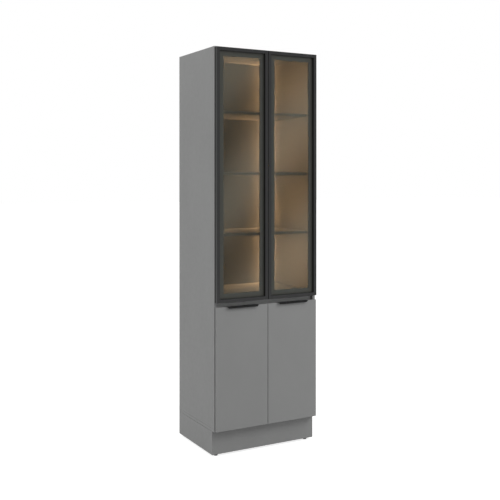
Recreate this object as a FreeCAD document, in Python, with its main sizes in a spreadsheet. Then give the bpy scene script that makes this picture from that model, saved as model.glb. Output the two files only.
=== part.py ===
"""Tall cabinet: two hinged glazed doors above two hinged board doors, on a recessed plinth.

Millimetres. X runs along the width, Y from the doors at the front (negative) to the back,
and Z up from the floor. The origin is on the floor, under the centre of the overall box.
The left half is built from the sheet and the right half is its mirror image.
"""
import FreeCAD
import Part
import Sketcher
import os
import re

# Driving sizes: alias, value, meaning.
SIZES = [
    ("cabinet_width", 600, "outside of one side panel to the other"),
    ("cabinet_height", 2063, "floor to the top of the sides"),
    ("carcass_depth", 428, "front edge to back edge of a side panel"),
    ("board_thickness", 15, "sides, top, floors, shelves, rail and plinth"),
    ("back_thickness", 3, "back panel"),
    ("back_inset", 9, "back panel to the rear edge of the sides"),
    ("groove_depth", 7, "groove that holds the back panel"),
    ("plinth_height", 120, "plinth boards, top to bottom"),
    ("plinth_setback", 24, "carcass front edge to plinth face"),
    ("plinth_joint", 1.2, "shadow groove along the top of the plinth's side boards, each way"),
    ("side_joint", 0.6, "shadow groove under each side panel, each way"),
    ("floor_clearance", 12, "floor to the lower edge of the plinth"),
    ("divider_cover", 26, "bottom of the glazed doors to the top face of the divider board"),
    ("rail_setback", 20, "carcass front edge to the rail face in the finger recess"),
    ("rail_cover", 19, "lower edge of the rail to the top of the board doors"),
    ("shelf_setback", 60, "carcass front edge to a shelf's front edge"),
    ("shelf_play", 1, "shelf to side panels and back panel"),
    ("shelf_pin_radius", 2.5, "shelf pin"),
    ("shelf_pin_length", 16, "shelf pin, half of it in the side panel"),
    ("shelf_pin_margin", 50, "shelf pin axis to the shelf's front or back edge"),
    ("door_gap", 1.5, "carcass front edge to the back of a closed door"),
    ("door_reveal", 4, "door edge to the outer face of the carcass"),
    ("meeting_gap", 3, "between the two doors of a pair"),
    ("lower_door_height", 620, "board door"),
    ("lower_door_thickness", 15, "board door"),
    ("finger_gap", 23, "top of the board doors to the bottom of the glazed doors"),
    ("upper_door_thickness", 20, "aluminium frame, front to back"),
    ("frame_width", 43, "aluminium frame, lip and flange together"),
    ("lip_width", 17, "hollow lip of the frame"),
    ("lip_wall", 1.5, "wall of the hollow lip"),
    ("flange_thickness", 3, "flange behind the glass"),
    ("glass_thickness", 4, "door glass"),
    ("glass_play", 1, "glass edge to the lip"),
    ("pivot_inset", 4.6, "door edge to the hinge axis"),
    ("pivot_depth", 7, "back of the door to the hinge axis"),
    ("pin_radius", 1.5, "hinge pin"),
    ("pin_length", 26, "hinge pin"),
    ("pin_clearance", 0.06, "radial play of the knuckle on its pin"),
    ("knuckle_radius", 2.4, "knuckle at the end of a hinge arm"),
    ("arm_height", 8, "hinge arm, top to bottom"),
    ("arm_thickness", 2, "hinge arm along the side panel"),
    ("neck_thickness", 2.4, "arm between knuckle and side panel"),
    ("slot_clearance", 0.4, "free space around the arm inside the door"),
    ("plate_thickness", 1.5, "hinge plate on the side panel"),
    ("plate_start", 5, "carcass front edge to the hinge plate"),
    ("plate_length", 36, "hinge plate along the depth"),
    ("plate_height", 40, "hinge plate, top to bottom"),
    ("screw_radius", 2, "hinge screw shank"),
    ("screw_grip", 10, "hinge screw in the side panel"),
    ("screw_head_radius", 3.5, "hinge screw head"),
    ("screw_head_height", 1.5, "hinge screw head"),
    ("screw_offset", 12, "hinge screw above or below the hinge centre"),
    ("block_height", 32, "hinge block inside a door"),
    ("cup_radius", 17.5, "hinge cup in a board door"),
    ("cup_wall", 1.2, "hinge cup wall and floor"),
    ("cup_depth", 12, "hinge cup, from the back of the door"),
    ("cup_edge", 4, "door edge to the rim of the cup"),
    ("upper_hinge_margin", 100, "hinge centre to the end of a glazed door"),
    ("lower_hinge_margin", 90, "hinge centre to the end of a board door"),
    ("pull_length", 178, "edge pull, along its top"),
    ("pull_thickness", 2, "sheet of the edge pull"),
    ("pull_projection", 11, "door face to the front of the pull"),
    ("pull_drop", 7.5, "door top to the lower edge of the pull's lip"),
    ("pull_tongue", 12, "tongue of the pull, let into the door's top edge"),
    ("pull_setback", 3, "door face to the pull's tongue"),
    ("pull_slant", 0.6, "run of the pull's slanted ends over their height"),
    ("channel_leg", 17, "leg of the corner light channel"),
    ("channel_wall", 1.2, "wall of the corner light channel"),
    ("diffuser_depth", 3, "diffuser, measured along a channel leg"),
    ("channel_play", 2, "shelf corner to the light channel"),
    ("leg_inset", 33, "outer face of the carcass to the leg axis"),
    ("leg_setback", 27, "plinth face to the leg axis"),
    ("leg_pad_radius", 10, "foot pad"),
    ("leg_pad_height", 6, "foot pad"),
    ("leg_stem_radius", 5, "adjusting stem"),
    ("leg_stem_height", 24, "adjusting stem between pad and tube"),
    ("leg_tube_radius", 9, "leg tube"),
    ("leg_flange_radius", 12, "leg flange under the bottom board"),
    ("leg_flange_height", 5, "leg flange"),
    ("bumper_radius", 3.5, "door bumper"),
    ("bumper_offset", 20, "door bumper to the centre line"),
]

# Places that follow from the driving sizes: alias, formula.
LAYOUT = [
    ("front_reach", "door_gap + max(upper_door_thickness; lower_door_thickness + pull_projection)"),
    ("front_plane", "(front_reach - carcass_depth) / 2"),
    ("side_outer", "-cabinet_width / 2"),
    ("side_inner", "side_outer + board_thickness"),
    ("inner_width", "cabinet_width - 2 * board_thickness"),
    ("carcass_base", "floor_clearance + plinth_height"),
    ("bottom_top", "carcass_base + board_thickness"),
    ("top_under", "cabinet_height - board_thickness"),
    ("back_face", "front_plane + carcass_depth - back_inset - back_thickness"),
    ("shelf_front", "front_plane + shelf_setback"),
    ("shelf_depth", "back_face - shelf_play - shelf_front"),
    ("shelf_width", "inner_width - 2 * shelf_play"),
    ("shelf_corner", "channel_leg + channel_wall + channel_play - 2 * shelf_play"),
    ("door_edge", "side_outer + door_reveal"),
    ("door_back", "front_plane - door_gap"),
    ("door_width", "(cabinet_width - 2 * door_reveal - meeting_gap) / 2"),
    ("upper_door_face", "door_back - upper_door_thickness"),
    ("lower_door_face", "door_back - lower_door_thickness"),
    ("lower_door_base", "carcass_base + door_reveal"),
    ("lower_door_top", "lower_door_base + lower_door_height"),
    ("upper_door_base", "lower_door_top + finger_gap"),
    ("upper_door_top", "cabinet_height - door_reveal"),
    ("upper_door_height", "upper_door_top - upper_door_base"),
    ("upper_floor_height", "upper_door_base + divider_cover"),
    ("divider_under", "upper_floor_height - board_thickness"),
    ("rail_base", "lower_door_top - rail_cover"),
    ("upper_bay", "(top_under - upper_floor_height - 3 * board_thickness) / 4"),
    ("lower_bay", "(divider_under - bottom_top - board_thickness) / 2"),
    ("pivot_x", "door_edge + pivot_inset"),
    ("pivot_y", "door_back - pivot_depth"),
    ("arm_x", "side_inner + plate_thickness"),
    ("slot_front", "pivot_y - knuckle_radius - slot_clearance"),
    ("slot_end", "arm_x + arm_thickness + slot_clearance"),
    ("plate_y", "front_plane + plate_start"),
    ("plinth_face", "front_plane + plinth_setback"),
    ("plinth_depth", "carcass_depth - plinth_setback"),
]

# Hinges of the left doors: door, number and height of the hinge centre.
HINGES = [
    ("upper_left", 1, "upper_door_base + upper_hinge_margin"),
    ("upper_left", 2, "upper_door_base + upper_door_height / 2"),
    ("upper_left", 3, "upper_door_top - upper_hinge_margin"),
    ("lower_left", 1, "lower_door_base + lower_hinge_margin"),
    ("lower_left", 2, "lower_door_top - lower_hinge_margin"),
]

ALONG_X = FreeCAD.Rotation(FreeCAD.Vector(0, 1, 0), 90)
ALONG_Y = FreeCAD.Rotation(FreeCAD.Vector(1, 0, 0), -90)

doc = FreeCAD.newDocument("Cabinet")
nodes = []


# ---------------------------------------------------------------- sheet and expressions

def fill_sheet():
    """Write the driving sizes as numbers and the layout as formulas, each with an alias."""
    page = doc.addObject("Spreadsheet::Sheet", "Sizes")
    rows = [(alias, str(size)) for alias, size, meaning in SIZES]
    rows += [(alias, "=" + formula) for alias, formula in LAYOUT]
    for number, (alias, content) in enumerate(rows, start=1):
        page.set(f"A{number}", alias)
        page.set(f"B{number}", content)
        page.setAlias(f"B{number}", alias)
    for number, (alias, size, meaning) in enumerate(SIZES, start=1):
        page.set(f"C{number}", meaning)
    doc.recompute()
    return page, {alias for alias, content in rows}


sheet, ALIASES = fill_sheet()


def expression(text):
    """Turn a formula of aliases into one that any object of the document can hold."""
    def qualify(match):
        word = match.group(0)
        return "Sizes." + word if word in ALIASES else word
    return re.sub(r"[a-z_]+", qualify, text)


def bind(item, setting, text):
    item.setExpression(setting, expression(text))


def place(item, x, y, z, rotation=None):
    """Bind an object's position to three formulas."""
    if rotation is not None:
        item.Placement = FreeCAD.Placement(FreeCAD.Vector(), rotation)
    for axis, text in zip("xyz", (x, y, z)):
        bind(item, f"Placement.Base.{axis}", text)
    return item


def node(item, name):
    """Keep an object as a piece of the cabinet, under its node name."""
    item.Label = name
    nodes.append(item)
    return item


# ---------------------------------------------------------------- primitives and booleans

def box(name, corner, size):
    item = doc.addObject("Part::Box", name)
    for setting, text in zip(("Length", "Width", "Height"), size):
        bind(item, setting, text)
    return place(item, *corner)


def cylinder(name, centre, radius, height, rotation=None):
    """Cylinder that starts at centre and runs along Z, or along X or Y when rotated."""
    item = doc.addObject("Part::Cylinder", name)
    bind(item, "Radius", radius)
    bind(item, "Height", height)
    return place(item, *centre, rotation)


def cut(name, base, tool):
    item = doc.addObject("Part::Cut", name)
    item.Base = base
    item.Tool = tool
    return item


def fuse(name, pieces):
    item = doc.addObject("Part::MultiFuse", name)
    item.Shapes = pieces
    return item


def mirrored(name, source):
    """Mirror image across the cabinet's centre plane."""
    item = doc.addObject("Part::Mirroring", name)
    item.Source = source
    item.Normal = FreeCAD.Vector(1, 0, 0)
    return item


def both_sides(source, left_name):
    """Keep a piece and its mirror image on the right."""
    node(source, left_name)
    right_name = left_name.replace("left", "right")
    node(mirrored(right_name, source), right_name)


# ---------------------------------------------------------------- sketched bodies

def origin_plane(body, role):
    return next(item for item in body.Origin.OriginFeatures if item.Role == role)


def new_sketch(body, name, role):
    sketch = body.newObject("Sketcher::SketchObject", name)
    sketch.AttachmentSupport = [(origin_plane(body, role), "")]
    sketch.MapMode = "FlatFace"
    return sketch


def draw_outline(sketch, corners):
    """Close a straight-sided outline whose corners are bound to formulas."""
    first = sketch.GeometryCount
    spots = [FreeCAD.Vector(sheet.evalExpression(x), sheet.evalExpression(y), 0) for x, y in corners]
    count = len(spots)
    for index, spot in enumerate(spots):
        sketch.addGeometry(Part.LineSegment(spot, spots[(index + 1) % count]))
    for index in range(count):
        following = first + (index + 1) % count
        sketch.addConstraint(Sketcher.Constraint("Coincident", first + index, 2, following, 1))
    for index, (spot, (x, y)) in enumerate(zip(spots, corners)):
        pin_down(sketch, first + index, "DistanceX", x, spot.x)
        pin_down(sketch, first + index, "DistanceY", y, spot.y)


def pin_down(sketch, edge, direction, text, size):
    """Hold the start of an edge at a distance from the sketch origin."""
    vertical_axis, horizontal_axis = -2, -1
    if text == "0":
        axis = vertical_axis if direction == "DistanceX" else horizontal_axis
        sketch.addConstraint(Sketcher.Constraint("PointOnObject", edge, 1, axis))
        return
    number = sketch.addConstraint(Sketcher.Constraint(direction, -1, 1, edge, 1, size))
    bind(sketch, f"Constraints[{number}]", text)


def padded_body(name, outlines, length, role="XY_Plane"):
    """Body padded from one or more outlines; an outline inside another is a hollow."""
    body = doc.addObject("PartDesign::Body", name)
    sketch = new_sketch(body, name + "_section", role)
    for corners in outlines:
        draw_outline(sketch, corners)
    pad = body.newObject("PartDesign::Pad", name + "_pad")
    pad.Profile = sketch
    bind(pad, "Length", length)
    return body


def cut_through(body, name, role, outlines):
    """Pocket outlines right through a body, to both sides of one of its origin planes."""
    sketch = new_sketch(body, name + "_outline", role)
    for corners in outlines:
        draw_outline(sketch, corners)
    pocket = body.newObject("PartDesign::Pocket", name)
    pocket.Profile = sketch
    pocket.Type = "ThroughAll"
    pocket.Midplane = True


# ---------------------------------------------------------------- carcass

def shelf(name, underside):
    """Shelf with its two rear corners cut off for the corner light channels."""
    body = padded_body(name, [[
        ("0", "0"),
        ("shelf_width", "0"),
        ("shelf_width", "shelf_depth - shelf_corner"),
        ("shelf_width - shelf_corner", "shelf_depth"),
        ("shelf_corner", "shelf_depth"),
        ("0", "shelf_depth - shelf_corner"),
    ]], "board_thickness")
    node(place(body, "side_inner + shelf_play", "shelf_front", underside), name)


def shelves():
    """Three shelves share the glazed space equally, and one halves the space below."""
    undersides = []
    for number, name in enumerate(("shelf_low", "shelf_middle", "shelf_high"), start=1):
        underside = f"upper_floor_height + {number} * upper_bay + {number - 1} * board_thickness"
        shelf(name, underside)
        undersides.append(underside)
    lower = "bottom_top + lower_bay"
    corner = ("side_inner + shelf_play", "shelf_front", lower)
    node(box("lower_shelf", corner, ("shelf_width", "shelf_depth", "board_thickness")), "lower_shelf")
    return undersides + [lower]


def shelf_pins(undersides):
    """Pins pressed into the left side panel, two under each shelf."""
    pins = []
    for number, underside in enumerate(undersides, start=1):
        for row, y in enumerate(("shelf_front + shelf_pin_margin",
                                 "shelf_front + shelf_depth - shelf_pin_margin"), start=1):
            spot = ("side_inner - shelf_pin_length / 2", y, f"{underside} - shelf_pin_radius")
            pins.append(cylinder(f"pin_{number}_{row}", spot, "shelf_pin_radius",
                                 "shelf_pin_length", ALONG_X))
    left = fuse("left_shelf_pins", pins)
    node(fuse("shelf_pins", [left, mirrored("right_shelf_pins", left)]), "shelf_pins")
    return left


def hinge_screws():
    """Two screws hold each hinge plate to the left side panel."""
    screws = []
    for door, number, height in HINGES:
        for sign in "+-":
            y = "plate_y + plate_length / 2"
            z = f"{height} {sign} screw_offset"
            name = f"{door}_{number}_{'upper' if sign == '+' else 'lower'}"
            screws.append(cylinder(name + "_shank", ("side_inner - screw_grip", y, z), "screw_radius",
                                   "screw_grip + plate_thickness", ALONG_X))
            screws.append(cylinder(name + "_head", ("arm_x", y, z), "screw_head_radius",
                                   "screw_head_height", ALONG_X))
    left = fuse("left_hinge_screws", screws)
    node(fuse("hinge_screws", [left, mirrored("right_hinge_screws", left)]), "hinge_screws")
    return left


def carcass_boards(pins, screws):
    """Sides standing on the bottom board, with the top and the divider between them."""
    back = box("back_panel",
               ("side_inner - groove_depth", "back_face", "bottom_top - groove_depth"),
               ("inner_width + 2 * groove_depth", "back_thickness",
                "top_under - bottom_top + 2 * groove_depth"))
    node(back, "back_panel")
    side = box("side_blank", ("side_outer", "front_plane", "bottom_top"),
               ("board_thickness", "carcass_depth", "cabinet_height - bottom_top"))
    side = cut("side_grooved", side, back)
    side = cut("side_pinned", side, pins)
    both_sides(cut("left_side", side, screws), "left_side")
    bottom = box("bottom_blank", ("side_outer", "front_plane", "carcass_base"),
                 ("cabinet_width", "carcass_depth", "board_thickness"))
    joint = box("left_side_joint", ("side_outer", "front_plane", "bottom_top - side_joint"),
                ("side_joint", "carcass_depth", "side_joint"))
    joints = fuse("side_joints", [joint, mirrored("right_side_joint", joint)])
    bottom = cut("bottom_jointed", bottom, joints)
    node(cut("bottom_board", bottom, back), "bottom_board")
    top = box("top_blank", ("side_inner", "front_plane", "top_under"),
              ("inner_width", "carcass_depth", "board_thickness"))
    node(cut("top_board", top, back), "top_board")
    node(box("divider_board", ("side_inner", "front_plane", "divider_under"),
             ("inner_width", "back_face - front_plane", "board_thickness")), "divider_board")
    node(box("recess_rail", ("side_inner", "front_plane + rail_setback", "rail_base"),
             ("inner_width", "board_thickness", "divider_under - rail_base")), "recess_rail")


def plinth():
    """Four boards under the bottom board, mitred at the front corners."""
    front = padded_body("plinth_front", [[
        ("0", "0"),
        ("cabinet_width", "0"),
        ("cabinet_width - board_thickness", "board_thickness"),
        ("board_thickness", "board_thickness"),
    ]], "plinth_height")
    node(place(front, "side_outer", "plinth_face", "floor_clearance"), "plinth_front")
    left = padded_body("plinth_left_blank", [[
        ("0", "0"),
        ("board_thickness", "board_thickness"),
        ("board_thickness", "plinth_depth"),
        ("0", "plinth_depth"),
    ]], "plinth_height")
    left = place(left, "side_outer", "plinth_face", "floor_clearance")
    joint = box("left_plinth_joint", ("side_outer", "plinth_face", "carcass_base - plinth_joint"),
                ("plinth_joint", "plinth_depth", "plinth_joint"))
    both_sides(cut("plinth_left", left, joint), "plinth_left")
    rear = ("side_inner", "front_plane + carcass_depth - board_thickness", "floor_clearance")
    node(box("plinth_back", rear, ("inner_width", "board_thickness", "plinth_height")), "plinth_back")


def leg(name, y):
    """Levelling leg, turned round its own axis: pad, stem, tube and flange."""
    body = doc.addObject("PartDesign::Body", name)
    sketch = new_sketch(body, name + "_section", "XZ_Plane")
    draw_outline(sketch, [
        ("0", "0"),
        ("leg_pad_radius", "0"),
        ("leg_pad_radius", "leg_pad_height"),
        ("leg_stem_radius", "leg_pad_height"),
        ("leg_stem_radius", "leg_pad_height + leg_stem_height"),
        ("leg_tube_radius", "leg_pad_height + leg_stem_height"),
        ("leg_tube_radius", "carcass_base - leg_flange_height"),
        ("leg_flange_radius", "carcass_base - leg_flange_height"),
        ("leg_flange_radius", "carcass_base"),
        ("0", "carcass_base"),
    ])
    turn = body.newObject("PartDesign::Revolution", name + "_turning")
    turn.Profile = sketch
    turn.ReferenceAxis = (sketch, ["V_Axis"])
    turn.Angle = 360
    both_sides(place(body, "side_outer + leg_inset", y, "0"), name)


def legs():
    leg("leg_front_left", "plinth_face + leg_setback")
    leg("leg_back_left", "front_plane + carcass_depth - leg_inset")


def corner_lights():
    """Angle channel in each rear corner of the glazed space, closed by a diffuser."""
    quarter_turn = FreeCAD.Rotation(FreeCAD.Vector(0, 0, 1), -90)
    corner = ("side_inner", "back_face", "upper_floor_height")
    length = "top_under - upper_floor_height"
    channel = padded_body("led_channel_left", [[
        ("0", "0"),
        ("channel_leg", "0"),
        ("channel_leg", "channel_wall"),
        ("channel_wall", "channel_wall"),
        ("channel_wall", "channel_leg"),
        ("0", "channel_leg"),
    ]], length)
    both_sides(place(channel, *corner, quarter_turn), "led_channel_left")
    diffuser = padded_body("led_diffuser_left", [[
        ("channel_leg - diffuser_depth", "channel_wall"),
        ("channel_leg", "channel_wall"),
        ("channel_wall", "channel_leg"),
        ("channel_wall", "channel_leg - diffuser_depth"),
    ]], length)
    both_sides(place(diffuser, *corner, quarter_turn), "led_diffuser_left")


def door_bumpers():
    """Soft discs that fill the gap behind the free edge of each closed door."""
    heights = ("(top_under + upper_door_top) / 2",
               "upper_floor_height - board_thickness / 2",
               "(lower_door_base + bottom_top) / 2")
    discs = []
    for number, height in enumerate(heights, start=1):
        for side, sign in (("left", "-"), ("right", "")):
            spot = (f"{sign}bumper_offset", "door_back", height)
            discs.append(cylinder(f"bumper_{side}_{number}", spot, "bumper_radius", "door_gap", ALONG_Y))
    node(fuse("door_bumpers", discs), "door_bumpers")


# ---------------------------------------------------------------- hinges

def hinge_arm(door, number, height, screws):
    """Fixed leaf: knuckle on the door's pin, neck, arm and plate on the side panel."""
    name = f"{door}_hinge_arm_{number}"
    base = f"{height} - arm_height / 2"
    neck_front = "pivot_y - neck_thickness / 2"
    plate_end = "plate_y + plate_length"
    knuckle = cylinder(name + "_knuckle", ("pivot_x", "pivot_y", base), "knuckle_radius", "arm_height")
    neck = box(name + "_neck", ("pivot_x", neck_front, base),
               ("arm_x + arm_thickness - pivot_x", "neck_thickness", "arm_height"))
    strap = box(name + "_strap", ("arm_x", neck_front, base),
                ("arm_thickness", f"{plate_end} - ({neck_front})", "arm_height"))
    plate = box(name + "_plate", ("side_inner", "plate_y", f"{height} - plate_height / 2"),
                ("plate_thickness", "plate_length", "plate_height"))
    bore = cylinder(name + "_bore", ("pivot_x", "pivot_y", base), "pin_radius + pin_clearance", "arm_height")
    leaf = cut(name + "_bored", fuse(name + "_leaf", [knuckle, neck, strap, plate]), bore)
    both_sides(cut(name, leaf, screws), name)


def arm_slot(name, height):
    """Space that the arm sweeps inside the door, open to the back of the door."""
    return box(name, ("door_edge + lip_wall", "slot_front", f"{height} - arm_height / 2 - slot_clearance"),
               ("slot_end - door_edge - lip_wall", "door_back - slot_front",
                "arm_height + 2 * slot_clearance"))


def hinge_pin(name, height):
    return cylinder(name, ("pivot_x", "pivot_y", f"{height} - pin_length / 2"), "pin_radius", "pin_length")


def hinge_block(number, height):
    """Block with its pin, filling the hollow lip of the glazed door's frame."""
    name = f"upper_left_hinge_block_{number}"
    block = box(name + "_body",
                ("door_edge + lip_wall", "upper_door_face + lip_wall", f"{height} - block_height / 2"),
                ("lip_width - 2 * lip_wall", "upper_door_thickness - 2 * lip_wall", "block_height"))
    slotted = cut(name + "_slotted", block, arm_slot(name + "_slot", height))
    both_sides(fuse(name, [slotted, hinge_pin(name + "_pin", height)]), name)


def cup_outline(name, height):
    """Outer form of a hinge cup with its pin housing; the board door is cut to it."""
    centre = ("door_edge + cup_edge + cup_radius", "door_back - cup_depth", height)
    drum = cylinder(name + "_drum", centre, "cup_radius", "cup_depth", ALONG_Y)
    housing = box(name + "_housing",
                  ("door_edge + lip_wall", "door_back - cup_depth", f"{height} - block_height / 2"),
                  ("slot_end - door_edge", "cup_depth", "block_height"))
    return drum, housing


def hinge_cup(number, height):
    """Cup with its pin, let into the back of the board door."""
    name = f"lower_left_hinge_cup_{number}"
    drum, housing = cup_outline(name, height)
    centre = ("door_edge + cup_edge + cup_radius", "door_back - cup_depth + cup_wall", height)
    hollow = cylinder(name + "_hollow", centre, "cup_radius - cup_wall", "cup_depth - cup_wall", ALONG_Y)
    shell = cut(name + "_shell", drum, hollow)
    slotted = cut(name + "_slotted", fuse(name + "_form", [shell, housing]),
                  arm_slot(name + "_slot", height))
    both_sides(fuse(name, [slotted, hinge_pin(name + "_pin", height)]), name)


def hinges(screws):
    for door, number, height in HINGES:
        hinge_arm(door, number, height, screws)
        if door == "upper_left":
            hinge_block(number, height)
        else:
            hinge_cup(number, height)


# ---------------------------------------------------------------- glazed doors

def frame_bar(name, length, corner, turn):
    """Length of the frame profile with mitred ends: a hollow lip and a flange for the glass."""
    flange_front = "upper_door_thickness - flange_thickness"
    body = padded_body(name, [
        [
            ("0", "0"),
            ("lip_width", "0"),
            ("lip_width", flange_front),
            ("frame_width", flange_front),
            ("frame_width", "upper_door_thickness"),
            ("0", "upper_door_thickness"),
        ],
        [
            ("lip_wall", "lip_wall"),
            ("lip_width - lip_wall", "lip_wall"),
            ("lip_width - lip_wall", "upper_door_thickness - lip_wall"),
            ("lip_wall", "upper_door_thickness - lip_wall"),
        ],
    ], length)
    cut_through(body, name + "_mitres", "XZ_Plane", [
        [("0", "0"), ("frame_width", "0"), ("frame_width", "frame_width")],
        [("0", length), ("frame_width", length), ("frame_width", f"{length} - frame_width")],
    ])
    return place(body, *corner, FreeCAD.Rotation(FreeCAD.Vector(0, 1, 0), turn))


def glazed_door():
    """Left door: four mitred bars, one of them slotted for the hinge arms, and the glass."""
    far_edge = "door_edge + door_width"
    face = "upper_door_face"
    stile = frame_bar("hinge_stile_blank", "upper_door_height", ("door_edge", face, "upper_door_base"), 0)
    slots = [arm_slot(f"stile_slot_{number}", height)
             for door, number, height in HINGES if door == "upper_left"]
    both_sides(cut("upper_left_hinge_stile", stile, fuse("stile_slots", slots)), "upper_left_hinge_stile")
    bars = [
        ("upper_left_top_rail", "door_width", ("door_edge", face, "upper_door_top"), 90),
        ("upper_left_meeting_stile", "upper_door_height", (far_edge, face, "upper_door_top"), 180),
        ("upper_left_bottom_rail", "door_width", (far_edge, face, "upper_door_base"), -90),
    ]
    for name, length, corner, turn in bars:
        both_sides(frame_bar(name, length, corner, turn), name)
    margin = "lip_width + glass_play"
    glass = box("upper_left_glass",
                (f"door_edge + {margin}", "door_back - flange_thickness - glass_thickness",
                 f"upper_door_base + {margin}"),
                (f"door_width - 2 * ({margin})", "glass_thickness", f"upper_door_height - 2 * ({margin})"))
    both_sides(glass, "upper_left_glass")


# ---------------------------------------------------------------- board doors

def board_door(pull):
    """Left board door, cut out for its two hinge cups and for the tongue of its pull."""
    panel = box("lower_panel_blank", ("door_edge", "lower_door_face", "lower_door_base"),
                ("door_width", "lower_door_thickness", "lower_door_height"))
    seats = []
    for door, number, height in HINGES:
        if door == "lower_left":
            seats += cup_outline(f"cup_seat_{number}", height)
    panel = cut("lower_panel_bored", panel, fuse("cup_seats", seats))
    both_sides(cut("lower_left_panel", panel, pull), "lower_left_panel")


def edge_pull():
    """Bent pull on the top edge of the board door: tongue, top, lip and slanted ends."""
    lip_face = "pull_thickness + pull_setback + pull_projection"
    lip_inside = "pull_setback + pull_projection"
    top = "pull_tongue + pull_thickness"
    slant = f"pull_slant * ({top})"
    body = padded_body("lower_left_pull", [[
        ("0", "0"),
        ("pull_thickness", "0"),
        ("pull_thickness", "pull_tongue"),
        (lip_inside, "pull_tongue"),
        (lip_inside, "pull_tongue - pull_drop"),
        (lip_face, "pull_tongue - pull_drop"),
        (lip_face, top),
        ("0", top),
    ]], "pull_length")
    cut_through(body, "pull_ends", "YZ_Plane", [
        [("0", "0"), (top, "0"), ("0", slant)],
        [("0", "pull_length"), ("0", f"pull_length - {slant}"), (top, "pull_length")],
    ])
    forward, up, leftward = FreeCAD.Vector(0, -1, 0), FreeCAD.Vector(0, 0, 1), FreeCAD.Vector(-1, 0, 0)
    place(body, "door_edge + (door_width + pull_length) / 2",
          "lower_door_face + pull_setback + pull_thickness",
          "lower_door_top - pull_tongue", FreeCAD.Rotation(forward, up, leftward, "XYZ"))
    both_sides(body, "lower_left_pull")
    return body


# ---------------------------------------------------------------- assembly and files

def build():
    pins = shelf_pins(shelves())
    screws = hinge_screws()
    carcass_boards(pins, screws)
    plinth()
    legs()
    corner_lights()
    door_bumpers()
    hinges(screws)
    glazed_door()
    board_door(edge_pull())
    doc.recompute()


def check():
    """Stop when an object failed to compute or a piece has no sound shape."""
    for item in doc.Objects:
        if "Invalid" in item.State or "Error" in item.State:
            raise RuntimeError(f"{item.Label} failed to compute: {item.State}")
    for item in nodes:
        if item.Shape.isNull() or not item.Shape.isValid() or item.Shape.Volume <= 0:
            raise RuntimeError(f"{item.Label} has no sound shape")


def write():
    os.makedirs("parts", exist_ok=True)
    for item in nodes:
        item.Shape.exportStep(f"parts/{item.Label}.step")


build()
check()
write()
print(len(nodes), "pieces written")
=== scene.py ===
"""Looks of the tall lit cabinet: finishes, small fittings, lights, floor and camera.

Metres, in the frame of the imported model: X along the width, Y from the doors (negative)
to the back, Z up from the floor.
"""
import math

import bmesh
import bpy
from mathutils import Matrix, Vector


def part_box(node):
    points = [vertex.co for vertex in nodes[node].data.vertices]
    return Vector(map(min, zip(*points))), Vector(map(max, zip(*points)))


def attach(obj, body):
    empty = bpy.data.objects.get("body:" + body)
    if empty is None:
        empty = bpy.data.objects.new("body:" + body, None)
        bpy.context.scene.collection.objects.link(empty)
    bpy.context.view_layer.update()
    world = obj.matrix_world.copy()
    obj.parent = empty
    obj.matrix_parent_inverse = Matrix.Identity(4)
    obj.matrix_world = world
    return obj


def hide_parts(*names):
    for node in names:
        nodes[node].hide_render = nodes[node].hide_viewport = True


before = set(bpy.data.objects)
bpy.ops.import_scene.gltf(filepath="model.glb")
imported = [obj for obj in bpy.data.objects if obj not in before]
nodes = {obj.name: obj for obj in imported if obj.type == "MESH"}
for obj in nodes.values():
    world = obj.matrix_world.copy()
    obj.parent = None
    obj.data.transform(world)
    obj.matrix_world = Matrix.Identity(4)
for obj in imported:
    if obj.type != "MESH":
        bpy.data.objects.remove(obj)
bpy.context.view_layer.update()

MM = 0.001


# ---------------------------------------------------------------- shader building blocks

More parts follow.
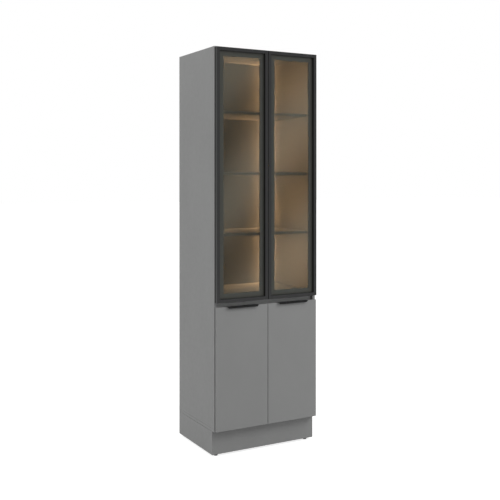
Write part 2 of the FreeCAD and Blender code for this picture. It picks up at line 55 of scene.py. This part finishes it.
class Shader:
    """A Principled material and short ways to add nodes to it."""

    def __init__(self, name, colour, roughness, **settings):
        self.material = bpy.data.materials.new(name)
        self.material.use_nodes = True
        self.tree = self.material.node_tree
        self.principled = self.tree.nodes["Principled BSDF"]
        self.set("Base Color", (*colour, 1.0))
        self.set("Roughness", roughness)
        for label, value in settings.items():
            self.set(label.replace("_", " "), value)

    def set(self, socket, value):
        """Give a socket of the Principled shader a plain value."""
        self.principled.inputs[socket].default_value = value

    def node(self, kind, inputs=None, **settings):
        """Add a node, with its settings and the sources of its inputs."""
        item = self.tree.nodes.new(kind)
        for label, value in settings.items():
            setattr(item, label, value)
        for socket, value in (inputs or {}).items():
            self.feed(item.inputs[socket], value)
        return item

    def feed(self, socket, value):
        """Link a node output to a socket, or give the socket a plain value."""
        if isinstance(value, bpy.types.NodeSocket):
            self.tree.links.new(value, socket)
        else:
            socket.default_value = value

    def place(self, scale):
        """Object coordinates stretched by scale."""
        coordinates = self.node("ShaderNodeTexCoord").outputs["Object"]
        mapping = self.node("ShaderNodeMapping", {"Vector": coordinates, "Scale": scale})
        return mapping.outputs["Vector"]

    def noise(self, scale, detail=3.0, roughness=0.5):
        """Noise with about scale features per metre on each axis."""
        return self.node("ShaderNodeTexNoise", {
            "Vector": self.place(scale), "Scale": 1.0, "Detail": detail, "Roughness": roughness,
        }).outputs["Fac"]

    def spread(self, value, low, high, from_low=0.3, from_high=0.7):
        """Map a noise value to the range from low to high."""
        return self.node("ShaderNodeMapRange", {
            "Value": value, "From Min": from_low, "From Max": from_high, "To Min": low, "To Max": high,
        }).outputs["Result"]

    def times(self, first, second):
        """Product of two values."""
        product = self.node("ShaderNodeMath", {0: first, 1: second}, operation="MULTIPLY")
        return product.outputs["Value"]

    def tint(self, colour, *factors):
        """Base colour multiplied by grey factors that vary over the surface."""
        product = factors[0]
        for factor in factors[1:]:
            product = self.times(product, factor)
        scaled = self.node("ShaderNodeVectorMath", {0: colour, 1: product}, operation="MULTIPLY")
        self.feed(self.principled.inputs["Base Color"], scaled.outputs["Vector"])

    def rough(self, value, low, high):
        """Roughness that follows a noise value from low to high."""
        self.feed(self.principled.inputs["Roughness"], self.spread(value, low, high))

    def bump(self, height, distance, strength):
        """Relief of a noise value, distance high."""
        relief = self.node("ShaderNodeBump", {
            "Height": height, "Distance": distance, "Strength": strength,
        })
        self.feed(self.principled.inputs["Normal"], relief.outputs["Normal"])


# ---------------------------------------------------------------- finishes
# Noise scales are features per metre on each axis, and reliefs are heights in metres.

PRESSED_RELIEF = 0.03 * MM
BRUSHED_RELIEF = 0.01 * MM
MOULDED_RELIEF = 0.02 * MM
BRUSHED_ALONG = 6
BRUSHED_ACROSS = 1600


def laminate(name, colour, variation=0.03):
    """Matt melamine: faint cloudiness, a fine speckle and a pressed-in grain."""
    shader = Shader(name, colour, 0.5, Specular_IOR_Level=0.3)
    clouds = shader.noise((5, 5, 3))
    speckle = shader.noise((900, 900, 900), detail=2)
    shader.tint(colour,
                shader.spread(clouds, 1 - variation, 1 + variation),
                shader.spread(speckle, 1 - variation, 1 + variation))
    shader.rough(shader.noise((40, 40, 40)), 0.46, 0.56)
    shader.bump(shader.noise((650, 650, 650), detail=2), PRESSED_RELIEF, 0.6)
    return shader.material


def anodised(name, colour, along, roughness=0.36):
    """Anodised aluminium, brushed along one axis."""
    shader = Shader(name, colour, roughness, Metallic=0.85)
    grain = tuple(BRUSHED_ALONG if axis == along else BRUSHED_ACROSS for axis in "XYZ")
    lines = shader.noise(grain, detail=4, roughness=0.7)
    clouds = shader.noise((9, 9, 9))
    shader.tint(colour, shader.spread(lines, 0.9, 1.12), shader.spread(clouds, 0.96, 1.04))
    shader.rough(lines, roughness - 0.06, roughness + 0.08)
    shader.bump(lines, BRUSHED_RELIEF, 0.5)
    return shader.material


def plated(name, colour, roughness):
    """Nickel or zinc plate with faint mottling."""
    shader = Shader(name, colour, roughness, Metallic=1.0)
    patches = shader.noise((220, 220, 220), detail=4)
    shader.tint(colour, shader.spread(patches, 0.93, 1.05))
    shader.rough(patches, roughness - 0.06, roughness + 0.1)
    return shader.material


def moulded(name, colour, roughness):
    """Moulded plastic or rubber with a fine texture."""
    shader = Shader(name, colour, roughness)
    grain = shader.noise((1400, 1400, 1400), detail=2)
    shader.tint(colour, shader.spread(shader.noise((60, 60, 60)), 0.92, 1.08))
    shader.rough(grain, roughness - 0.05, roughness + 0.08)
    shader.bump(grain, MOULDED_RELIEF, 0.5)
    return shader.material


def tinted_glass(name, colour, ior, gloss_colour):
    """Clear polished glass, tinted all through."""
    shader = Shader(name, colour, 0.0, Transmission_Weight=1.0, IOR=ior)
    shader.set("Specular Tint", (*gloss_colour, 1.0))
    return shader.material


def glowing(name, colour, glow, strength):
    """Opal cover in front of a light strip, a little uneven along its length."""
    shader = Shader(name, colour, 0.55)
    shader.set("Emission Color", (*glow, 1.0))
    shader.set("Emission Strength", strength)
    shader.tint(colour, shader.spread(shader.noise((90, 90, 90)), 0.96, 1.02))
    return shader.material


BOARD_GREY = (0.232, 0.234, 0.232)
BACK_GREY = (0.215, 0.217, 0.213)
# The edge band is a real strip, but its grey, far paler than the board grey, is painted light on the
# shelf fronts.
EDGE_PAINTED_LIGHT_GREY = (0.66, 0.70, 0.71)
# Painted light: the recess rail's grey is the board laminate made much paler, so that the shaded
# finger recess reads brighter.
RECESS_PAINTED_LIGHT_GREY = (0.42, 0.424, 0.42)
FRAME_BLACK = (0.0345, 0.0345, 0.035)
PULL_BLACK = (0.012, 0.012, 0.0125)
SATIN_ALUMINIUM = (0.55, 0.55, 0.55)
NICKEL = (0.56, 0.55, 0.53)
ZINC = (0.62, 0.62, 0.60)
PLASTIC_BLACK = (0.02, 0.02, 0.02)
GASKET_GREY = (0.0265, 0.028, 0.0215)
BUMPER_CLEAR = (0.72, 0.72, 0.70)
GLASS_TINT = (0.195, 0.195, 0.176)
GLASS_GLOSS = (1.0, 1.0, 0.84)
GLASS_IOR = 1.52
WARM_LIGHT = (1.0, 0.575, 0.28)
WARM_WHITE = (1.0, 0.76, 0.52)
DIFFUSER_WHITE = (0.85, 0.82, 0.76)

board_finish = laminate("carcass_laminate", BOARD_GREY)
door_finish = laminate("door_laminate", BOARD_GREY, 0.02)
back_finish = laminate("back_laminate", BACK_GREY)
# Edge band finish: a real strip whose pale grey is painted light on the shelf fronts.
edge_band_painted_light_finish = laminate("edge_band", EDGE_PAINTED_LIGHT_GREY, 0.02)
# The recess laminate is a paler copy of the board laminate, painted light for the shaded recess.
recess_painted_light_finish = laminate("recess_laminate_painted_light", RECESS_PAINTED_LIGHT_GREY)
frame_upright = anodised("door_frame_upright", FRAME_BLACK, "Z")
frame_level = anodised("door_frame_level", FRAME_BLACK, "X")
pull_finish = anodised("edge_pull", PULL_BLACK, "X", 0.45)
channel_finish = anodised("light_channel", SATIN_ALUMINIUM, "Z", 0.4)
glass_finish = tinted_glass("tinted_glass", GLASS_TINT, GLASS_IOR, GLASS_GLOSS)
diffuser_finish = glowing("led_diffuser", DIFFUSER_WHITE, WARM_WHITE, 1.0)
hinge_finish = plated("hinge_steel", NICKEL, 0.3)
fixing_finish = plated("fixings", ZINC, 0.35)
leg_finish = moulded("leg_plastic", PLASTIC_BLACK, 0.5)
gasket_finish = moulded("gasket", GASKET_GREY, 0.5)
bumper_finish = moulded("bumper", BUMPER_CLEAR, 0.35)


def finish_of(name):
    """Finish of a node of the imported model."""
    if name.endswith("_glass"):
        return glass_finish
    if name.startswith("led_"):
        return diffuser_finish if "diffuser" in name else channel_finish
    if name.startswith("upper_") and name.endswith("_stile"):
        return frame_upright
    if name.startswith("upper_") and name.endswith("_rail"):
        return frame_level
    if name.endswith("_pull"):
        return pull_finish
    if name in ("hinge_screws", "shelf_pins"):
        return fixing_finish
    if "_hinge_" in name:
        return hinge_finish
    if name.startswith("leg_"):
        return leg_finish
    if name == "door_bumpers":
        return bumper_finish
    if name == "back_panel":
        return back_finish
    # The recess rail takes the paler laminate, painted light for the shaded recess.
    if name == "recess_rail":
        return recess_painted_light_finish
    if name.endswith("_panel"):
        return door_finish
    return board_finish


EDGE_RADII = {
    "board": 1.0 * MM,
    "metal": 0.35 * MM,
    "small": 0.2 * MM,
}
WELD_REACH = 0.01 * MM
SHARP_ANGLE = math.radians(40)


def edge_radius(name):
    """Rounding of a node's edges, or None where it has none."""
    material = finish_of(name)
    if name in ("bottom_board", "plinth_left", "plinth_right"):
        return EDGE_RADII["small"]
    if material in (board_finish, door_finish, recess_painted_light_finish):
        return EDGE_RADII["board"]
    if material in (frame_upright, frame_level, pull_finish):
        return EDGE_RADII["metal"]
    if material in (hinge_finish, glass_finish, fixing_finish):
        return EDGE_RADII["small"]
    return None


def round_edges(item, radius):
    """Small rounding on the sharp edges, so that they catch the light."""
    weld = item.modifiers.new("weld", "WELD")
    weld.merge_threshold = WELD_REACH
    bevel = item.modifiers.new("rounding", "BEVEL")
    bevel.width = radius
    bevel.segments = 2
    bevel.limit_method = "ANGLE"
    bevel.angle_limit = SHARP_ANGLE
    bevel.harden_normals = True


for name, item in nodes.items():
    item.data.materials.clear()
    item.data.materials.append(finish_of(name))
    radius = edge_radius(name)
    if radius:
        round_edges(item, radius)


# ---------------------------------------------------------------- mesh helpers

TURNED_SIDES = 24


def add_piece(name, mesh, body, material):
    """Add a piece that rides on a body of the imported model."""
    item = bpy.data.objects.new(name, mesh)
    bpy.context.scene.collection.objects.link(item)
    mesh.materials.append(material)
    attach(item, body)
    return item


def mesh_from(name, work):
    """Finish a bmesh as a mesh with outward normals."""
    bmesh.ops.recalc_face_normals(work, faces=work.faces)
    mesh = bpy.data.meshes.new(name)
    work.to_mesh(mesh)
    work.free()
    return mesh


def framed_strip(work, low, high, profile):
    """Sweep a closed profile round an upright rectangle, with mitred corners.

    low and high are opposite corners, and each profile point is (inset, y).
    """
    corners = [(low.x, low.z, 1, 1), (high.x, low.z, -1, 1),
               (high.x, high.z, -1, -1), (low.x, high.z, 1, -1)]
    loops = [[work.verts.new((x + inset * right, y, z + inset * up)) for inset, y in profile]
             for x, z, right, up in corners]
    count = len(profile)
    for here, there in zip(loops, loops[1:] + loops[:1]):
        for index in range(count):
            after = (index + 1) % count
            work.faces.new((here[index], here[after], there[after], there[index]))


def quarter_turn(steps):
    """Angles from 0 to 90 degrees in equal steps."""
    return [math.radians(90 * step / steps) for step in range(steps + 1)]


def separate_bodies(item):
    """Lowest and highest corner of each separate body in a node's mesh."""
    work = bmesh.new()
    work.from_mesh(item.data)
    bmesh.ops.remove_doubles(work, verts=work.verts, dist=WELD_REACH)
    left = set(work.verts)
    boxes = []
    while left:
        waiting = [left.pop()]
        body = []
        while waiting:
            vert = waiting.pop()
            body.append(vert.co.copy())
            for edge in vert.link_edges:
                other = edge.other_vert(vert)
                if other in left:
                    left.remove(other)
                    waiting.append(other)
        boxes.append((Vector(map(min, *body)), Vector(map(max, *body))))
    work.free()
    return boxes


def turned(work, origin, axis, profile):
    """Turn a profile of (height, radius) points round an axis; returns the last ring."""
    steps = TURNED_SIDES
    turn = Vector(axis).to_track_quat("Z", "Y").to_matrix()
    rings = []
    for height, radius in profile:
        angles = [2 * math.pi * step / steps for step in range(steps)]
        rings.append([work.verts.new(origin + turn @ Vector(
            (radius * math.cos(angle), radius * math.sin(angle), height))) for angle in angles])
    for here, there in zip(rings, rings[1:]):
        for step in range(steps):
            after = (step + 1) % steps
            work.faces.new((here[step], here[after], there[after], there[step]))
    work.faces.new(rings[0])
    return rings[-1]


# ---------------------------------------------------------------- gaskets of the glazed doors

GASKET_DEPTH = 0.5 * MM
GLASS_PLAY = 1.0 * MM
PLAY_EACH_WAY = Vector((GLASS_PLAY, 0.0, GLASS_PLAY))


def flat_gasket(width, depth, back):
    """Gasket profile: flat against the lip and the glass, its inner edge rounded."""
    points = [(0.0, back), (0.0, back - depth)]
    for angle in quarter_turn(4):
        points.append((width - depth * (1 - math.sin(angle)), back - depth * math.cos(angle)))
    return points


for side in ("left", "right"):
    glass_low, glass_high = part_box(f"upper_{side}_glass")
    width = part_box(f"upper_{side}_bottom_rail")[1].z - glass_low.z + GLASS_PLAY
    work = bmesh.new()
    framed_strip(work, glass_low - PLAY_EACH_WAY, glass_high + PLAY_EACH_WAY,
                 flat_gasket(width, GASKET_DEPTH, glass_low.y))
    mesh = mesh_from(f"upper_{side}_gasket", work)
    add_piece(f"upper_{side}_gasket", mesh, f"upper_{side}_door", gasket_finish)


# ---------------------------------------------------------------- front edges of the shelves

EDGE_BAND = 0.8 * MM


def edge_band(work, low, high):
    """Strip along the front edge of a board with corners low and high, its long corners rounded."""
    curve = [(low.y - EDGE_BAND * math.sin(angle), EDGE_BAND * (1 - math.cos(angle)))
             for angle in quarter_turn(3)]
    section = [(y, high.z - inset) for y, inset in curve]
    section += [(y, low.z + inset) for y, inset in reversed(curve)]
    ends = [[work.verts.new((x, y, z)) for y, z in section] for x in (low.x, high.x)]
    count = len(section)
    for index in range(count):
        after = (index + 1) % count
        work.faces.new((ends[0][index], ends[0][after], ends[1][after], ends[1][index]))
    for end in ends:
        work.faces.new(end)


# The shelf-front strips take the pale edge band grey, which is painted light on the shelf fronts.
for shelf in ("shelf_low", "shelf_middle", "shelf_high", "lower_shelf"):
    low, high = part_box(shelf)
    work = bmesh.new()
    edge_band(work, low, high)
    mesh = mesh_from(f"{shelf}_edge", work)
    add_piece(f"{shelf}_edge", mesh, "carcass", edge_band_painted_light_finish)


# ---------------------------------------------------------------- hinge screws and door bumpers

SHANK_RADIUS = 2.0 * MM
HEAD_RADIUS = 3.5 * MM
HEAD_HEIGHT = 1.5 * MM
RECESS_REACH = 1.6 * MM
RECESS_HALF_WIDTH = 0.45 * MM
RECESS_DEPTH = 1.0 * MM
RECESS_TAPER = 0.75


def loop_edges(work, ring):
    """Edges of a closed ring of vertices, made where they are missing."""
    ends = zip(ring, ring[1:] + ring[:1])
    return [work.edges.get(pair) or work.edges.new(pair) for pair in ends]


def cross_recess(work, ring, origin, axis, height):
    """Close a turned head with a flat top that has a cross-shaped recess."""
    turn = Vector(axis).to_track_quat("Z", "Y").to_matrix()
    quarter = [(RECESS_REACH, -RECESS_HALF_WIDTH), (RECESS_REACH, RECESS_HALF_WIDTH),
               (RECESS_HALF_WIDTH, RECESS_HALF_WIDTH)]
    outline = []
    for count in range(4):
        for x, y in quarter:
            for _ in range(count):
                x, y = -y, x
            outline.append((x, y))
    levels = []
    for level, share in ((height, 1.0), (height - RECESS_DEPTH, RECESS_TAPER)):
        levels.append([work.verts.new(origin + turn @ Vector((x * share, y * share, level)))
                       for x, y in outline])
    rim, floor = levels
    edges = loop_edges(work, ring) + loop_edges(work, rim)
    bmesh.ops.triangle_fill(work, use_beauty=True, edges=edges)
    for index in range(len(rim)):
        after = (index + 1) % len(rim)
        work.faces.new((rim[index], rim[after], floor[after], floor[index]))
    work.faces.new(floor)


work = bmesh.new()
for low, high in separate_bodies(nodes["hinge_screws"]):
    inward = 1 if low.x < 0 else -1
    start = low.x if inward > 0 else high.x
    origin = Vector((start, (low.y + high.y) / 2, (low.z + high.z) / 2))
    length = high.x - low.x
    under_head = length - HEAD_HEIGHT
    ring = turned(work, origin, (inward, 0, 0), [
        (0.0, SHANK_RADIUS * 0.5),
        (2.5 * MM, SHANK_RADIUS),
        (under_head, SHANK_RADIUS),
        (under_head, HEAD_RADIUS),
        (under_head + 0.6 * MM, HEAD_RADIUS),
        (under_head + 1.1 * MM, HEAD_RADIUS * 0.93),
        (length - 0.1 * MM, HEAD_RADIUS * 0.78),
        (length, HEAD_RADIUS * 0.66),
    ])
    cross_recess(work, ring, origin, (inward, 0, 0), length)
screws = add_piece("hinge_screw_set", mesh_from("hinge_screw_set", work),
                   "carcass", fixing_finish)
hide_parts("hinge_screws")

work = bmesh.new()
for low, high in separate_bodies(nodes["door_bumpers"]):
    radius = (high.x - low.x) / 2
    height = high.y - low.y
    origin = Vector(((low.x + high.x) / 2, high.y, (low.z + high.z) / 2))
    top = turned(work, origin, (0, -1, 0), [
        (0.0, radius),
        (height * 0.3, radius),
        (height * 0.6, radius * 0.93),
        (height * 0.85, radius * 0.75),
        (height * 0.97, radius * 0.45),
        (height, radius * 0.15),
    ])
    work.faces.new(top)
bumpers = add_piece("door_bumper_set", mesh_from("door_bumper_set", work),
                    "carcass", bumper_finish)
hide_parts("door_bumpers")


# ---------------------------------------------------------------- lamps

def aim(item, place, direction):
    """Put a lamp at place, shining along direction, with its long side upright."""
    back = -direction.normalized()
    right = Vector((0, 0, 1)).cross(back).normalized()
    turn = Matrix((right, back.cross(right), back)).transposed()
    item.matrix_world = Matrix.Translation(place) @ turn.to_4x4()


def area_lamp(name, place, direction, size, power, colour=(1, 1, 1)):
    """Rectangular lamp that lights the scene, but is seen nowhere itself."""
    lamp = bpy.data.lights.new(name, "AREA")
    lamp.shape = "RECTANGLE"
    lamp.size, lamp.size_y = size
    lamp.energy = power
    lamp.color = colour
    item = bpy.data.objects.new(name, lamp)
    bpy.context.scene.collection.objects.link(item)
    item.visible_camera = False
    item.visible_glossy = False
    item.visible_transmission = False
    aim(item, place, direction)
    return item


# ---------------------------------------------------------------- light strips in the rear corners
# Each strip has the direction that it shines in, its power in watts and its spread.

STRIPS = {
    "left": (Vector((0.82, -0.57, 0.0)), 6.1, math.radians(60)),
    "right": (Vector((-1.0, 0.0, 0.0)), 32.0, math.radians(180)),
}
STRIP_WIDTH = 10 * MM
STRIP_REACH = 9.6 * MM

for side, (direction, power, spread) in STRIPS.items():
    low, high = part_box(f"led_channel_{side}")
    place = (low + high) / 2 + direction * STRIP_REACH
    size = (STRIP_WIDTH, high.z - low.z)
    strip = area_lamp(f"strip_{side}", place, direction, size, power, WARM_LIGHT)
    strip.data.spread = spread


# ---------------------------------------------------------------- studio

AMBIENT = 0.7
BACKGROUND = 1.0
WHITE = (1.0, 1.0, 1.0, 1.0)

# The floor's albedo for the light on the object, and the shaded and glowing shares that show.
FLOOR_HALF = 40.0
FLOOR_ALBEDO = 0.4
FLOOR_SHADED = 0.5
FLOOR_PALE = 0.8

# The bands on the panel are a wave in radians per metre, and fade from this share of its size.
PANEL_PLACE = (1.5083, -2.8037, 1.4022)
PANEL_BEARING = math.radians(30.165)
PANEL_SIZE = (1.5, 2.8)
PANEL_FADE = 0.8
BAND_WAVE = (-6.02, 5.48, 0.0)
BAND_PHASE = 5.21
BAND_CONTRAST = 0.55

# Each lamp has its bearing from the front, positive to the right, and its power in watts.
SOFT_LAMPS = {"right_lamp": (math.radians(45), 132), "left_lamp": (math.radians(-90), 66)}
LAMP_TARGET = Vector((0.0, 0.0, 1.0))
LAMP_DISTANCE = 5.0
LAMP_RISE = math.radians(35)
LAMP_SIZE = (2.5, 2.5)


def math_node(tree, operation, *values):
    """Result of a math operation on outputs or plain values."""
    item = tree.nodes.new("ShaderNodeMath")
    item.operation = operation
    for socket, value in zip(item.inputs, values):
        if isinstance(value, bpy.types.NodeSocket):
            tree.links.new(value, socket)
        else:
            socket.default_value = value
    return item.outputs["Value"]


def dot_product(tree, vector, constant):
    """Dot product of an output and a plain vector."""
    item = tree.nodes.new("ShaderNodeVectorMath")
    item.operation = "DOT_PRODUCT"
    tree.links.new(vector, item.inputs[0])
    item.inputs[1].default_value = constant
    return item.outputs["Value"]


def background_rays(tree):
    """1 for rays that show the background: seen directly, in metal or through glass."""
    path = tree.nodes.new("ShaderNodeLightPath").outputs
    seen = math_node(tree, "MAXIMUM", path["Is Camera Ray"], path["Is Glossy Ray"])
    return math_node(tree, "MAXIMUM", seen, path["Is Transmission Ray"])


def mixed(tree, first, second):
    """The first shader for the light on the object, the second for the background."""
    item = tree.nodes.new("ShaderNodeMixShader")
    for socket, value in zip(item.inputs, (background_rays(tree), first, second)):
        tree.links.new(value, socket)
    return item.outputs["Shader"]


def make_world():
    """Even light from all round, and a white background."""
    world = bpy.data.worlds.new("studio")
    world.use_nodes = True
    bpy.context.scene.world = world
    tree = world.node_tree
    tree.nodes.remove(tree.nodes["Background"])

    def background(strength):
        item = tree.nodes.new("ShaderNodeBackground")
        item.inputs["Color"].default_value = WHITE
        item.inputs["Strength"].default_value = strength
        return item.outputs["Background"]

    result = mixed(tree, background(AMBIENT), background(BACKGROUND))
    tree.links.new(result, tree.nodes["World Output"].inputs["Surface"])


def stage_sheet(name, corners, matrix=Matrix()):
    """Flat sheet that belongs to the studio, and the node tree of its still empty material."""
    work = bmesh.new()
    work.faces.new([work.verts.new((x, y, 0)) for x, y in corners])
    mesh = mesh_from(name, work)
    sheet = bpy.data.objects.new(name, mesh)
    bpy.context.scene.collection.objects.link(sheet)
    sheet.matrix_world = matrix
    material = bpy.data.materials.new(name)
    material.use_nodes = True
    material.node_tree.nodes.remove(material.node_tree.nodes["Principled BSDF"])
    mesh.materials.append(material)
    return sheet, material.node_tree


def surface(tree, kind, grey):
    """Output of a diffuse or emission shader in a plain grey."""
    item = tree.nodes.new(kind)
    item.inputs["Color"].default_value = (grey, grey, grey, 1.0)
    return item.outputs[0]


def rectangle(half_width, half_height):
    """Corners of a rectangle round the origin."""
    return [(-half_width, -half_height), (half_width, -half_height),
            (half_width, half_height), (-half_width, half_height)]


def make_floor():
    """Pale floor that runs into the white background and keeps the cabinet's shadow."""
    _, tree = stage_sheet("floor", rectangle(FLOOR_HALF, FLOOR_HALF))
    pale = tree.nodes.new("ShaderNodeAddShader")
    tree.links.new(surface(tree, "ShaderNodeBsdfDiffuse", FLOOR_SHADED), pale.inputs[0])
    tree.links.new(surface(tree, "ShaderNodeEmission", FLOOR_PALE), pale.inputs[1])
    result = mixed(tree, surface(tree, "ShaderNodeBsdfDiffuse", FLOOR_ALBEDO), pale.outputs["Shader"])
    tree.links.new(result, tree.nodes["Material Output"].inputs["Surface"])


def fade_to_rim(tree, place, half_width, half_height):
    """1 over the middle of a sheet, falling softly to 0 at its rim."""
    split = tree.nodes.new("ShaderNodeSeparateXYZ")
    tree.links.new(place, split.inputs["Vector"])
    across = math_node(tree, "DIVIDE", math_node(tree, "ABSOLUTE", split.outputs["X"]), half_width)
    up = math_node(tree, "DIVIDE", math_node(tree, "ABSOLUTE", split.outputs["Y"]), half_height)
    fade = tree.nodes.new("ShaderNodeMapRange")
    fade.interpolation_type = "SMOOTHSTEP"
    tree.links.new(math_node(tree, "MAXIMUM", across, up), fade.inputs["Value"])
    fade.inputs["From Min"].default_value = 1.0
    fade.inputs["From Max"].default_value = PANEL_FADE
    return fade.outputs["Result"]


def make_soft_panel():
    """Panel with slanting bands of light and shade, which only door glass and metal mirror."""
    half_width, half_height = (size / 2 for size in PANEL_SIZE)
    turn = Matrix.Rotation(PANEL_BEARING, 4, "Z") @ Matrix.Rotation(math.radians(90), 4, "X")
    sheet, tree = stage_sheet("soft_panel", rectangle(half_width, half_height),
                              Matrix.Translation(PANEL_PLACE) @ turn)
    sheet.visible_camera = False
    sheet.visible_diffuse = False
    sheet.visible_transmission = False
    sheet.visible_shadow = False
    place = tree.nodes.new("ShaderNodeTexCoord").outputs["Object"]
    phase = math_node(tree, "ADD", dot_product(tree, place, BAND_WAVE), BAND_PHASE)
    fade = fade_to_rim(tree, place, half_width, half_height)
    swing = math_node(tree, "MULTIPLY", math_node(tree, "COSINE", phase), fade)
    level = math_node(tree, "ADD", math_node(tree, "MULTIPLY", swing, BAND_CONTRAST), 1.0)
    light = surface(tree, "ShaderNodeEmission", 1.0)
    tree.links.new(level, light.node.inputs["Strength"])
    tree.links.new(light, tree.nodes["Material Output"].inputs["Surface"])


def make_soft_lamps():
    """Large lamps before the doors and to the left, aimed at the middle of the cabinet."""
    for name, (bearing, power) in SOFT_LAMPS.items():
        level = math.cos(LAMP_RISE)
        outward = Vector((math.sin(bearing) * level, -math.cos(bearing) * level, math.sin(LAMP_RISE)))
        area_lamp(name, LAMP_TARGET + outward * LAMP_DISTANCE, -outward, LAMP_SIZE, power)


make_world()
make_floor()
make_soft_panel()
make_soft_lamps()


# ---------------------------------------------------------------- camera

CAMERA_PLACE = (-2.0996, -3.8216, 1.4022)
CAMERA_YAW = math.radians(-28.948)
CAMERA_LENS = 58.277
CAMERA_FILM = 36.0
HORIZON_SHIFT = -0.1436

camera_data = bpy.data.cameras.new("camera")
camera_data.lens = CAMERA_LENS
camera_data.sensor_width = CAMERA_FILM
camera_data.shift_y = HORIZON_SHIFT
camera = bpy.data.objects.new("camera", camera_data)
bpy.context.scene.collection.objects.link(camera)
camera.location = CAMERA_PLACE
camera.rotation_euler = (math.radians(90), 0.0, CAMERA_YAW)
bpy.context.scene.camera = camera
bpy.context.scene.view_settings.view_transform = "Standard"
